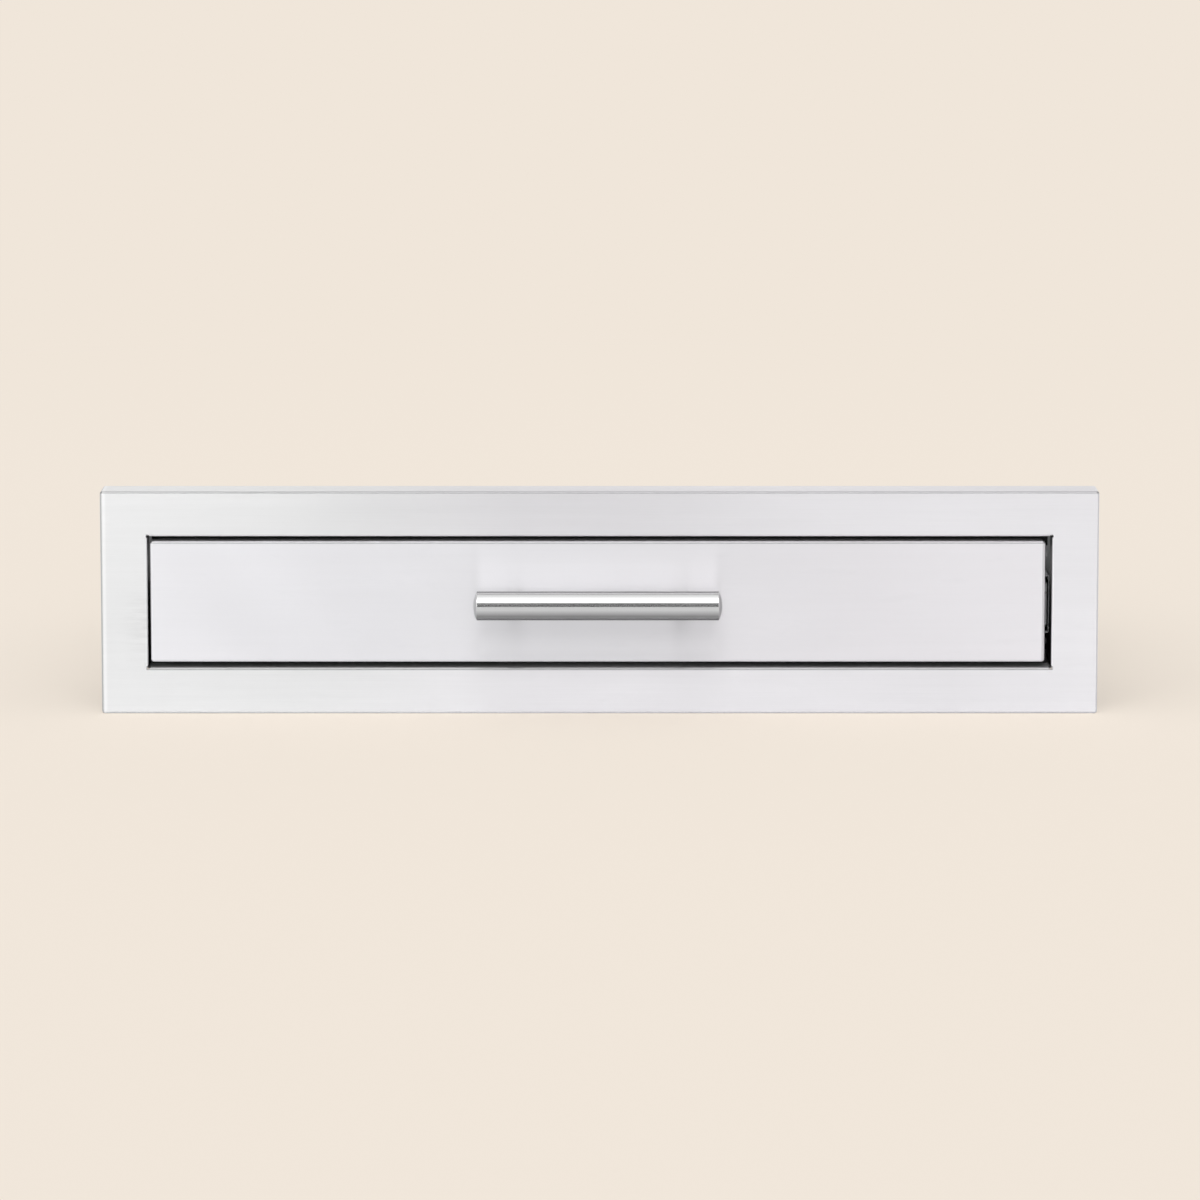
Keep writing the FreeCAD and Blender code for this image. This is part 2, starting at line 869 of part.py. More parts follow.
def drawer_box_front():
    """The drawer box's front wall, with slots to set the front and room for the handle screws."""
    wall = box_end(box_front_y, box_front_y + box_flange_depth)
    length = box_sheet + cut_margin
    for x, z in front_screw_places:
        for side in (-front_screw_adjustment, front_screw_adjustment):
            start = Vector(x + side, box_front_y - cut_margin / 2, z)
            wall = wall.cut(rod(front_screw_radius + hole_clearance, start, Y, length))
        half = front_screw_radius + hole_clearance
        slot = block(
            x - front_screw_adjustment,
            x + front_screw_adjustment,
            box_front_y - cut_margin / 2,
            box_front_y + length,
            z - half,
            z + half,
        )
        wall = wall.cut(slot)
    for x in post_places:
        start = Vector(x, box_front_y - cut_margin / 2, handle_z)
        wall = wall.cut(rod(washer_radius + head_access_gap, start, Y, length))
    return wall


def drawer_box_back():
    """The drawer box's back wall."""
    return box_end(box_back_y, box_back_y - box_flange_depth)


def drawer_box_rivets():
    """Rivets at the corners of the drawer box, flush outside so that they clear the slides."""
    rivets = []
    for y in box_corner_y:
        for z in box_corner_z:
            rivet = domed_rivet(
                Vector(box_inside_x - box_sheet, y, z),
                X,
                rivet_radius,
                2 * box_sheet,
                rivet_head_radius,
                rivet_head_height,
            )
            rivets += [rivet, mirrored(rivet)]
    return group(rivets)


def inner_member_screws():
    """Screws from inside the drawer box into the inner members."""
    screws = []
    for y in member_screw_places:
        screw = pan_screw(
            Vector(box_inside_x, y, slide_z),
            X,
            member_screw_radius,
            member_screw_length,
            member_screw_head_radius,
            member_screw_head_height,
        )
        screws += [screw, mirrored(screw)]
    return group(screws)


def handle_bar():
    """The round bar with domed ends and a socket for each post."""
    half = handle_length / 2
    shoulder = half - handle_end_dome
    dome_radius = (handle_radius**2 + handle_end_dome**2) / (2 * handle_end_dome)
    lean = math.asin(handle_radius / dome_radius) / 2
    axis_point = Vector(front_side_shift, handle_y, handle_z)
    edges = [Part.makeLine(axis_point - X * half, axis_point + X * half)]
    for way in (1, -1):
        tip = axis_point + X * (way * half)
        rim = axis_point + X * (way * shoulder) + Z * handle_radius
        sag = dome_radius * (1 - math.cos(lean))
        halfway = tip - X * (way * sag) + Z * (dome_radius * math.sin(lean))
        edges.append(Part.Arc(tip, halfway, rim).toShape())
    left_rim = axis_point - X * shoulder + Z * handle_radius
    edges.append(Part.makeLine(left_rim, left_rim + X * (2 * shoulder)))
    outline = Part.Face(Part.Wire(Part.__sortEdges__(edges)))
    bar = outline.revolve(axis_point, X, 360)
    bar = rounded(
        bar,
        handle_end_round,
        lambda middle, edge: near(abs(middle.x - front_side_shift), shoulder)
        and edge.Curve.TypeId == "Part::GeomCircle",
    )
    for x in post_places:
        start = Vector(x, handle_y + handle_radius - post_socket_depth, handle_z)
        bar = bar.cut(rod(post_radius + post_fit, start, Y, post_socket_depth + cut_margin))
    return bar


def handle_post(x):
    """A round post between the drawer front and the bar, tapped from the front's side."""
    top_y = handle_y + handle_radius - post_socket_depth
    post = rod(post_radius, Vector(x, top_y, handle_z), Y, face_y - top_y)
    hole_depth = handle_screw_engagement + tapped_hole_extra
    start = Vector(x, face_y - hole_depth, handle_z)
    return post.cut(rod(handle_screw_radius + thread_fit, start, Y, hole_depth + cut_margin))


def handle_screws():
    """Screws through the hollow front into the posts."""
    seat_y = box_front_y + washer_thickness
    length = seat_y - face_y + handle_screw_engagement
    return group(
        [
            pan_screw(
                Vector(x, seat_y, handle_z),
                Y * -1,
                handle_screw_radius,
                length,
                handle_screw_head_radius,
                handle_screw_head_height,
            )
            for x in post_places
        ]
    )


def ring(x, y0, y1, outside_radius, bore_radius):
    """A ring round a handle screw."""
    outside = rod(outside_radius, Vector(x, y0, handle_z), Y, y1 - y0)
    start = Vector(x, y0 - cut_margin / 2, handle_z)
    return outside.cut(rod(bore_radius, start, Y, y1 - y0 + cut_margin))


def handle_washers():
    """Washers under the handle screws' heads."""
    end_y = box_front_y + washer_thickness
    bore = handle_screw_radius + hole_clearance
    return group([ring(x, box_front_y, end_y, washer_radius, bore) for x in post_places])


def handle_spacer_sleeves():
    """Sleeves in the hollow front that stop it being crushed by the handle screws."""
    bore = handle_screw_radius + hole_clearance
    return group([ring(x, skin_back_y, liner_front_y, sleeve_radius, bore) for x in post_places])


def all_pieces():
    """Every piece by its name."""
    pieces = {
        "face_frame": face_frame(),
        "front_stop_bumpers": front_stop_bumpers(),
        "housing_cradle": housing_cradle(),
        "housing_back": housing_back(),
        "housing_back_rivets": housing_back_rivets(),
        "slide_wall_rivets": slide_wall_rivets(),
        "slide_rear_buffers": slide_rear_buffers(),
        "front_skin": front_skin(),
        "front_liner": front_liner(),
        "front_weld_nuts": front_weld_nuts(),
        "front_fixing_screws": front_fixing_screws(),
        "drawer_tray": drawer_tray(),
        "drawer_box_front": drawer_box_front(),
        "drawer_box_back": drawer_box_back(),
        "drawer_box_rivets": drawer_box_rivets(),
        "inner_member_screws": inner_member_screws(),
        "lever_pins": lever_pins(),
        "handle_bar": handle_bar(),
        "left_handle_post": handle_post(post_places[0]),
        "right_handle_post": handle_post(post_places[1]),
        "handle_screws": handle_screws(),
        "handle_washers": handle_washers(),
        "handle_spacer_sleeves": handle_spacer_sleeves(),
    }
    right_hand_pieces = {
        "slide_outer_member": outer_member(),
        "slide_middle_member": middle_member(),
        "slide_inner_member": inner_member(),
        "outer_ball_cage": ball_cage(outer_cage_u, outer_ball_offset, outer_ball_w),
        "inner_ball_cage": ball_cage(inner_cage_u, inner_ball_offset, inner_ball_w),
        "outer_balls": balls(outer_ball_offset, outer_ball_w),
        "inner_balls": balls(inner_ball_offset, inner_ball_w),
        "release_lever": release_lever(),
    }
    for name, shape in right_hand_pieces.items():
        pieces["right_" + name] = shape
        pieces["left_" + name] = mirrored(shape)
    return pieces


os.makedirs("parts", exist_ok=True)
for name, shape in all_pieces().items():
    shape.exportStep("parts/" + name + ".step")
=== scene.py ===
import math

import bpy
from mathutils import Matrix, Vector


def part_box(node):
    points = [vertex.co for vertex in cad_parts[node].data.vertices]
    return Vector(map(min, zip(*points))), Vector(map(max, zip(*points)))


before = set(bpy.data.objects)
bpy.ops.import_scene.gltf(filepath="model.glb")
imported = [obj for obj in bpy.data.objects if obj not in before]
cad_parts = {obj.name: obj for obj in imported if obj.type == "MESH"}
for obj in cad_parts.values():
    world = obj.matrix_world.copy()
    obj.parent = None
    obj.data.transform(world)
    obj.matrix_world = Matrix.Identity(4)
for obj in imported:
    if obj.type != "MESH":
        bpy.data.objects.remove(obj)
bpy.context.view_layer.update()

# Housing cradle: floor and both side walls in one folded stainless sheet with a dull mill finish, hemmed
# outside along the top. It is spot welded to the frame's returns, and each weld leaves a small dimple with
# a straw-coloured ring of heat. Inside, the front ends of the walls are coarser, and painted shade darkens
# them.
cradle_colour = (0.55, 0.55, 0.555, 1)
cradle_roughness = 0.42
weld_row_y = -0.0145
weld_pitch = 0.040
weld_radius = 0.0024
weld_ring_radius = 0.0046
weld_depth = 0.0002
heat_colour = (0.44, 0.37, 0.27, 1)
wall_facing_inward = (-0.30, -0.20)
shaded_end_y = (0.050, 0.095)
end_painted_shade = 0.60
coarse_end_roughness = 0.85


def add(tree, kind, inputs=None, **settings):
    """One node in a finish, with its settings and what feeds its inputs."""
    node = tree.nodes.new(kind)
    for name, value in settings.items():
        setattr(node, name, value)
    for name, value in (inputs or {}).items():
        if isinstance(value, bpy.types.NodeSocket):
            tree.links.new(value, node.inputs[name])
        else:
            node.inputs[name].default_value = value
    return node


def start_finish(name, colour, metallic, roughness):
    """An empty finish with its shader, and the place of each point on the piece in metres."""
    finish = bpy.data.materials.new(name)
    finish.use_nodes = True
    tree = finish.node_tree
    shader = tree.nodes["Principled BSDF"]
    shader.inputs["Base Color"].default_value = colour
    shader.inputs["Metallic"].default_value = metallic
    shader.inputs["Roughness"].default_value = roughness
    place = add(tree, "ShaderNodeTexCoord").outputs["Object"]
    return finish, tree, shader, place


def feed(tree, shader, name, value):
    """Lets a pattern drive one of the shader's inputs."""
    tree.links.new(value, shader.inputs[name])


def fed(shader, name):
    """The pattern that drives one of the shader's inputs so far."""
    return shader.inputs[name].links[0].from_socket


def scored(tree, shader, pattern, depth, strength):
    """Fine relief that follows a pattern, on top of any relief the finish has already."""
    inputs = {"Height": pattern, "Distance": depth, "Strength": strength}
    if shader.inputs["Normal"].is_linked:
        inputs["Normal"] = fed(shader, "Normal")
    feed(tree, shader, "Normal", add(tree, "ShaderNodeBump", inputs).outputs[0])


def split(tree, vector):
    """The three parts of a place or a direction: across the unit, back into it, and up."""
    return add(tree, "ShaderNodeSeparateXYZ", {0: vector}).outputs


def facing(tree):
    """How far the surface faces across, back and up at each point."""
    return split(tree, add(tree, "ShaderNodeTexCoord").outputs["Normal"])


def length(tree, vector):
    """How long a distance is, whichever way it points."""
    return add(tree, "ShaderNodeVectorMath", {0: vector}, operation="LENGTH").outputs["Value"]


def stretched(tree, place, x, y, z):
    """Places drawn out so that a pattern changes x, y and z times in each metre along the axes."""
    return add(tree, "ShaderNodeVectorMath", {0: place, 1: (x, y, z)}, operation="MULTIPLY").outputs[0]


def mottle(tree, place, detail=2.0, roughness=0.5):
    """A soft random pattern, about 0.5 on average."""
    inputs = {"Vector": place, "Scale": 1.0, "Detail": detail, "Roughness": roughness}
    return add(tree, "ShaderNodeTexNoise", inputs).outputs[0]


def ranged(tree, value, from_low, from_high, to_low, to_high, soft=False):
    """A value moved from one range to another and held inside it."""
    ends = {"From Min": from_low, "From Max": from_high, "To Min": to_low, "To Max": to_high}
    way = "SMOOTHSTEP" if soft else "LINEAR"
    return add(tree, "ShaderNodeMapRange", {"Value": value, **ends}, interpolation_type=way).outputs[0]


def maths(tree, operation, a, b=0.0):
    """One or two values put through a sum."""
    return add(tree, "ShaderNodeMath", {0: a, 1: b}, operation=operation).outputs[0]


def times(tree, first, *others):
    """Values multiplied together."""
    for other in others:
        first = maths(tree, "MULTIPLY", first, other)
    return first


def less(tree, share):
    """What is left of 1 once a share is taken away."""
    return maths(tree, "SUBTRACT", 1.0, share)


def toned(tree, colour, strength):
    """A colour made lighter or darker by a value about 1."""
    return add(tree, "ShaderNodeVectorMath", {0: colour, "Scale": strength}, operation="SCALE").outputs[0]


def mixed(tree, share, first, second):
    """A colour that goes from the first to the second with the share."""
    inputs = {0: share, 6: first, 7: second}
    return add(tree, "ShaderNodeMix", inputs, data_type="RGBA").outputs[2]


def put_on(finish, *nodes):
    """Gives pieces their finish."""
    for name in nodes:
        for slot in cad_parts[name].material_slots:
            slot.material = finish


def mill_sheet(name, colour, roughness):
    """Cold-rolled sheet as it comes from the mill: dull, faintly mottled, with rolling lines along X."""
    finish, tree, shader, place = start_finish(name, colour, 1.0, roughness)
    blotches = mottle(tree, stretched(tree, place, 9, 11, 11), 3)
    lines = mottle(tree, stretched(tree, place, 6, 700, 700))
    scuffs = mottle(tree, stretched(tree, place, 60, 70, 70), 4, 0.7)
    blotch_tone = ranged(tree, blotches, 0.3, 0.7, 0.93, 1.05)
    line_tone = ranged(tree, lines, 0.3, 0.7, 0.975, 1.02)
    feed(tree, shader, "Base Color", toned(tree, colour[:3], times(tree, blotch_tone, line_tone)))
    blotch_rough = ranged(tree, blotches, 0.3, 0.7, roughness - 0.04, roughness + 0.05)
    scuff_rough = ranged(tree, scuffs, 0.5, 0.75, 0.0, 0.10)
    feed(tree, shader, "Roughness", maths(tree, "ADD", blotch_rough, scuff_rough))
    scored(tree, shader, lines, depth=0.00002, strength=0.5)
    return finish, tree, shader, place


cradle_finish, tree, shader, place = mill_sheet(
    "mill_sheet_with_spot_welds", cradle_colour, cradle_roughness
)
across, back, up = split(tree, place)
facing_across, _, facing_up = facing(tree)
from_row = maths(tree, "SUBTRACT", back, weld_row_y)
up_wall = maths(tree, "PINGPONG", maths(tree, "ADD", up, weld_pitch * 0.3), weld_pitch / 2)
across_floor = maths(tree, "PINGPONG", maths(tree, "ADD", across, weld_pitch * 0.5), weld_pitch / 2)
on_floor = maths(tree, "GREATER_THAN", maths(tree, "ABSOLUTE", facing_up), 0.5)
along_row = add(tree, "ShaderNodeMix", {0: on_floor, 2: up_wall, 3: across_floor}).outputs[0]
from_weld = length(tree, add(tree, "ShaderNodeCombineXYZ", {0: from_row, 1: along_row}).outputs[0])
heat = ranged(tree, from_weld, weld_radius, weld_ring_radius, 1.0, 0.0, soft=True)
# Painted shade: the inside faces of the walls are darkened towards their front ends near the frame, and made
# rougher there.
inside = ranged(tree, times(tree, facing_across, across), *wall_facing_inward, 1.0, 0.0)
coarse_and_shaded_end = times(tree, inside, ranged(tree, back, *shaded_end_y, 1.0, 0.0, soft=True))
plain = toned(tree, fed(shader, "Base Color"), less(tree, times(tree, coarse_and_shaded_end, end_painted_shade)))
rough = maths(tree, "MAXIMUM", fed(shader, "Roughness"), times(tree, coarse_and_shaded_end, coarse_end_roughness))
feed(tree, shader, "Roughness", rough)
feed(tree, shader, "Base Color", mixed(tree, heat, plain, heat_colour))
dimple = ranged(tree, from_weld, weld_radius * 0.7, weld_radius, 0.0, 1.0, soft=True)
scored(tree, shader, dimple, depth=weld_depth, strength=1.0)
put_on(cradle_finish, "housing_cradle")

# Housing back: a shallow folded pan of the same mill sheet, riveted between the side walls.
# Its rivets are stainless, with domed heads outside.
back_colour = (0.56, 0.56, 0.565, 1)
rivet_colour = (0.58, 0.58, 0.58, 1)
put_on(mill_sheet("mill_sheet", back_colour, roughness=0.40)[0], "housing_back")


def turned_steel(name, colour, roughness):
    """Small turned and headed steel pieces: fine tool marks, and tarnish that dulls them in patches."""
    finish, tree, shader, place = start_finish(name, colour, 1.0, roughness)
    marks = mottle(tree, stretched(tree, place, 1800, 1800, 1800))
    tarnish = mottle(tree, stretched(tree, place, 160, 160, 160), 3, 0.6)
    feed(tree, shader, "Base Color", toned(tree, colour[:3], ranged(tree, tarnish, 0.35, 0.7, 1.04, 0.86)))
    feed(tree, shader, "Roughness", ranged(tree, tarnish, 0.3, 0.7, roughness - 0.06, roughness + 0.10))
    scored(tree, shader, marks, depth=0.00002, strength=0.4)
    return finish


rivet_finish = turned_steel("stainless_rivet", rivet_colour, roughness=0.30)
put_on(rivet_finish, "housing_back_rivets", "slide_wall_rivets")

# Ball-bearing slides: roll-formed strip, an outer member on each wall, an inner member on each side of the
# drawer and a middle member between them. Semi-bright and lightly greased, with rolling lines along the
# travel and tracks that the balls have burnished.
strip_colour = (0.60, 0.61, 0.62, 1)
slide_middle_z = 0.046
ball_track = (0.0150, 0.0175)
track_edge = 0.0006
track_shine = 0.07
track_smoothing = -0.08


def band(tree, value, rise_from, rise_to, fall_from, fall_to):
    """1 where a value is inside a band, falling softly to 0 at both of its edges."""
    rise = ranged(tree, value, rise_from, rise_to, 0.0, 1.0, soft=True)
    fall = ranged(tree, value, fall_from, fall_to, 1.0, 0.0, soft=True)
    return times(tree, rise, fall)


def rolled_strip(name, colour, roughness):
    """Roll-formed strip with lines along its travel and a film of grease that gathers in patches."""
    finish, tree, shader, place = start_finish(name, colour, 1.0, roughness)
    lines = mottle(tree, stretched(tree, place, 1500, 5, 1500))
    grease = mottle(tree, stretched(tree, place, 120, 22, 120), 3, 0.6)
    from_middle = maths(tree, "ABSOLUTE", maths(tree, "SUBTRACT", split(tree, place)[2], slide_middle_z))
    low, high = ball_track
    track = band(tree, from_middle, low, low + track_edge, high, high + track_edge)
    line_tone = ranged(tree, lines, 0.3, 0.7, 0.95, 1.03)
    grease_tone = ranged(tree, grease, 0.4, 0.7, 1.01, 0.94)
    tone = maths(tree, "ADD", times(tree, line_tone, grease_tone), times(tree, track, track_shine))
    feed(tree, shader, "Base Color", toned(tree, colour[:3], tone))
    grease_rough = ranged(tree, grease, 0.35, 0.7, roughness + 0.03, roughness - 0.04)
    feed(tree, shader, "Roughness", maths(tree, "ADD", grease_rough, times(tree, track, track_smoothing)))
    scored(tree, shader, lines, depth=0.00002, strength=0.5)
    return finish


strip_finish = rolled_strip("rolled_slide_strip", strip_colour, roughness=0.30)
for side in ("left", "right"):
    for member in ("outer", "middle", "inner"):
        put_on(strip_finish, f"{side}_slide_{member}_member")

# Ball cages and balls: each cage is thin pressed strip with a hole for each ball, and the balls are
# polished bearing steel. Both carry a little grease.
cage_colour = (0.50, 0.49, 0.47, 1)
ball_colour = (0.72, 0.72, 0.73, 1)
cage_finish = rolled_strip("pressed_cage_strip", cage_colour, roughness=0.34)
ball_finish, tree, shader, place = start_finish(
    "polished_ball", ball_colour, metallic=1.0, roughness=0.10
)
film = mottle(tree, stretched(tree, place, 900, 900, 900), 3)
feed(tree, shader, "Roughness", ranged(tree, film, 0.4, 0.7, 0.06, 0.22))
feed(tree, shader, "Base Color", toned(tree, ball_colour[:3], ranged(tree, film, 0.4, 0.7, 1.0, 0.85)))
for side in ("left", "right"):
    put_on(cage_finish, f"{side}_outer_ball_cage", f"{side}_inner_ball_cage")
    put_on(ball_finish, f"{side}_outer_balls", f"{side}_inner_balls")

# Release levers and rubber pieces: moulded black plastic levers on steel pins in the inner members, and
# black rubber for the slides' rear buffers and the four bumpers in the frame's stop lips.
lever_colour = (0.022, 0.022, 0.024, 1)
rubber_colour = (0.018, 0.018, 0.018, 1)
dust_colour = (0.16, 0.15, 0.14, 1)
pin_colour = (0.62, 0.62, 0.62, 1)


def moulded_black(name, colour, roughness, grain):
    """Moulded black plastic or rubber with a fine mould texture and a trace of dust."""
    finish, tree, shader, place = start_finish(name, colour, 0.0, roughness)
    texture = mottle(tree, stretched(tree, place, grain, grain, grain))
    dust = mottle(tree, stretched(tree, place, 220, 220, 220), 4, 0.7)
    dusting = ranged(tree, dust, 0.5, 0.8, 0.0, 0.25)
    feed(tree, shader, "Base Color", mixed(tree, dusting, colour, dust_colour))
    feed(tree, shader, "Roughness", ranged(tree, dust, 0.4, 0.8, roughness - 0.05, roughness + 0.15))
    scored(tree, shader, texture, depth=0.00005, strength=0.6)
    return finish


lever_finish = moulded_black("moulded_plastic", lever_colour, roughness=0.42, grain=2600)
rubber_finish = moulded_black("black_rubber", rubber_colour, roughness=0.72, grain=1500)
put_on(lever_finish, "left_release_lever", "right_release_lever")
put_on(rubber_finish, "slide_rear_buffers", "front_stop_bumpers")
put_on(turned_steel("bright_pin", pin_colour, roughness=0.22), "lever_pins")

# Face frame: one folded sheet of stainless steel that stands proud of the island, brushed along its width
# and turned with the fold on its ends. The face is cloudy, duller along the top rail, rosier to the right
# and darker in soft patches on the left stile. The faces inside the opening are coarse and darkened with
# painted shade.
frame_colour = (0.837, 0.837, 0.837, 1)
frame_right_colour = (0.846, 0.832, 0.852, 1)
frame_roughness = 0.35
frame_clouds = 0.03
grain_stretch = 0.9
face_y = -0.0318
bend_y = (-0.0304, -0.0299)
dull_rail_patch = ((-0.08, face_y, 0.122), (0.34, 1.0, 0.045))
rail_painted_light_patch = ((0.0, face_y, -0.018), (0.26, 1.0, 0.05))
left_stile_patch = ((-0.348, face_y, 0.034), (0.022, 1.0, 0.045))
top_bend_z = (0.1366, 0.1375)
sill_bend_z = (0.0004, 0.0030)
head_bend_z = (0.1030, 0.1041)
bend_painted_shade = 0.52
bend_painted_highlight = -0.16
left_bend_shade_x = (-0.3798, -0.3790)
left_highlight_x = (-0.3798, -0.3788, -0.3782, -0.3760)
left_highlight_strength = 0.11
opening_half_width = 0.3465
opening_middle_z = 0.0528
opening_half_height = 0.0521
opening_edge = 0.0005
inner_face_y = (-0.0303, -0.0280)
inner_wall_painted_shade = 0.91
sill_painted_shade = 0.42
inner_wall_roughness = 0.85


def brushed_sheet(name, colour, roughness, clouds, depth=1.0):
    """Stainless sheet brushed along X, with fine grain, drawn-out streaks, soft clouds and finger smudges."""
    finish, tree, shader, place = start_finish(name, colour, 1.0, roughness)
    on_end = ranged(tree, maths(tree, "ABSOLUTE", facing(tree)[0]), 0.6, 0.8, 0.0, 1.0)

    def along_grain(along, across):
        """Places drawn out along the grain, which turns along Y on the sheet's ends."""
        level = stretched(tree, place, along, across, across)
        turned = stretched(tree, place, across, along, across)
        node = add(tree, "ShaderNodeMix", {0: on_end, 4: level, 5: turned}, data_type="VECTOR")
        return node.outputs[1]

    grain = mottle(tree, along_grain(14, 2400), 3, 0.6)
    streaks = mottle(tree, along_grain(2.2, 240), 3)
    cloud = mottle(tree, along_grain(3.2, 9))
    smudge = mottle(tree, along_grain(22, 75), 3, 0.6)
    grain_tone = ranged(tree, grain, 0.25, 0.75, 1 - 0.018 * depth, 1 + 0.018 * depth)
    streak_tone = ranged(tree, streaks, 0.25, 0.75, 1 - 0.009 * depth, 1 + 0.009 * depth)
    cloud_tone = ranged(tree, cloud, 0.25, 0.75, 1 - clouds, 1 + clouds)
    smudge_tone = ranged(tree, smudge, 0.60, 0.80, 1.0, 0.97)
    tone = times(tree, grain_tone, streak_tone, cloud_tone, smudge_tone)
    rough = ranged(tree, grain, 0.25, 0.75, roughness - 0.025, roughness + 0.025)
    rough = maths(tree, "ADD", rough, ranged(tree, cloud, 0.25, 0.75, -0.02, 0.02))
    rough = maths(tree, "ADD", rough, ranged(tree, smudge, 0.60, 0.80, 0.0, 0.06))
    feed(tree, shader, "Roughness", rough)
    shader.inputs["Anisotropic"].default_value = grain_stretch
    across_grain = add(tree, "ShaderNodeCombineXYZ", {0: 0.0, 1: 0.02, 2: 1.0}).outputs[0]
    feed(tree, shader, "Tangent", across_grain)
    scored(tree, shader, grain, depth=0.00001, strength=0.5)
    return finish, tree, shader, place, tone


def painted_bend_tone(tree, across, back, low, high, softness, strength):
    """Painted shade along a bend at the face, between two places across it; a strength below 0 paints a
    highlight instead.
    """
    rise = ranged(tree, across, low - softness, low, 0.0, strength)
    fall = ranged(tree, across, high, high + softness, 1.0, 0.0)
    return less(tree, times(tree, rise, fall, ranged(tree, back, *bend_y, 1.0, 0.0)))


def soft_patch(tree, place, centre, reach):
    """1 at a place on the sheet, falling softly to 0 at its reach across, back and up."""
    moved = add(tree, "ShaderNodeVectorMath", {0: place, 1: centre}, operation="SUBTRACT").outputs[0]
    shares = add(tree, "ShaderNodeVectorMath", {0: moved, 1: reach}, operation="DIVIDE").outputs[0]
    return ranged(tree, length(tree, shares), 0.0, 1.0, 1.0, 0.0, soft=True)


def within(tree, value, half_size, edge):
    """1 where a value lies within a distance of 0 either way, and 0 just past it."""
    return ranged(tree, maths(tree, "ABSOLUTE", value), half_size + edge, half_size, 0.0, 1.0)


frame_finish, tree, shader, place, tone = brushed_sheet(
    "brushed_frame_sheet", frame_colour, frame_roughness, frame_clouds
)
across, back, up = split(tree, place)
facing_up = facing(tree)[2]
in_width = within(tree, across, opening_half_width, opening_edge)
in_height = within(tree, maths(tree, "SUBTRACT", up, opening_middle_z), opening_half_height, opening_edge)
past_bend = ranged(tree, back, *inner_face_y, 0.0, 1.0, soft=True)
inner_face = times(tree, times(tree, in_width, in_height), past_bend)

# The rails: duller along the top one, painted shade along the top and sill bends, a painted highlight at the
# head.
dull_rail = soft_patch(tree, place, *dull_rail_patch)
tone = times(tree, tone, ranged(tree, dull_rail, 0.0, 1.0, 1.0, 0.95))
tone = times(tree, tone, painted_bend_tone(tree, up, back, *top_bend_z, 0.0006, bend_painted_shade))
sill_bend_painted_shade = times(tree, in_width, bend_painted_shade)
tone = times(tree, tone, painted_bend_tone(tree, up, back, *sill_bend_z, 0.0005, sill_bend_painted_shade))
head_bend_painted_highlight = times(tree, in_width, bend_painted_highlight)
tone = times(tree, tone, painted_bend_tone(tree, up, back, *head_bend_z, 0.0003, head_bend_painted_highlight))

# The faces inside the opening: coarse and darkened with painted shade, the sill less so.
recess_painted_shade = ranged(tree, facing_up, 0.3, 0.7, inner_wall_painted_shade, sill_painted_shade)
tone = times(tree, tone, less(tree, times(tree, inner_face, recess_painted_shade)))
coarse = times(tree, inner_face, ranged(tree, facing_up, 0.3, 0.7, inner_wall_roughness, 0.0))
feed(tree, shader, "Roughness", maths(tree, "MAXIMUM", fed(shader, "Roughness"), coarse))

# The left end's bend with painted shade and a painted highlight just inside it, the left stile darker in
# soft patches, painted light on the bottom rail's middle, the face darker towards the right, and the hue.
left_bend_painted_shade = ranged(tree, across, *left_bend_shade_x, 0.72, 1.0)
highlight_rise = ranged(tree, across, *left_highlight_x[:2], 0.0, 1.0)
highlight_fall = ranged(tree, across, *left_highlight_x[2:], 1.0, 0.0, soft=True)
left_painted_highlight = times(tree, times(tree, highlight_rise, highlight_fall), left_highlight_strength)
tone = times(tree, tone, maths(tree, "ADD", left_bend_painted_shade, left_painted_highlight))
stile_mottle = mottle(tree, stretched(tree, place, 30, 30, 260), 3, 0.6)
stile_darkening = times(tree, soft_patch(tree, place, *left_stile_patch), ranged(tree, stile_mottle, 0.40, 0.65, 0.0, 0.10))
tone = maths(tree, "SUBTRACT", tone, stile_darkening)
# Painted light on the middle of the bottom rail.
tone = maths(tree, "ADD", tone, times(tree, soft_patch(tree, place, *rail_painted_light_patch), 0.06))
tone = times(tree, tone, ranged(tree, across, 0.05, 0.33, 1.0, 0.955))
to_right = ranged(tree, across, -0.25, -0.02, 0.0, 1.0, soft=True)
hue = mixed(tree, to_right, frame_colour, frame_right_colour)
feed(tree, shader, "Base Color", toned(tree, hue, tone))
put_on(frame_finish, "face_frame")

# Drawer box: a folded tray between two riveted end walls, all of thinner brushed sheet with hemmed edges.
# The grain runs along the width, and the floor has fine wear lines from what slides on it.
box_colour = (0.66, 0.66, 0.665, 1)
box_screw_colour = (0.60, 0.60, 0.60, 1)
box_finish, tree, shader, place, tone = brushed_sheet(
    "brushed_box_sheet", box_colour, roughness=0.40, clouds=0.035
)
wear = mottle(tree, stretched(tree, place, 40, 160, 40), 5, 0.7)
tone = times(tree, tone, ranged(tree, wear, 0.62, 0.72, 1.0, 0.93))
feed(tree, shader, "Base Color", toned(tree, box_colour[:3], tone))
put_on(box_finish, "drawer_tray", "drawer_box_front", "drawer_box_back", "front_liner")
box_screw_finish = turned_steel("stainless_screw", box_screw_colour, roughness=0.28)
put_on(box_screw_finish, "drawer_box_rivets", "inner_member_screws")

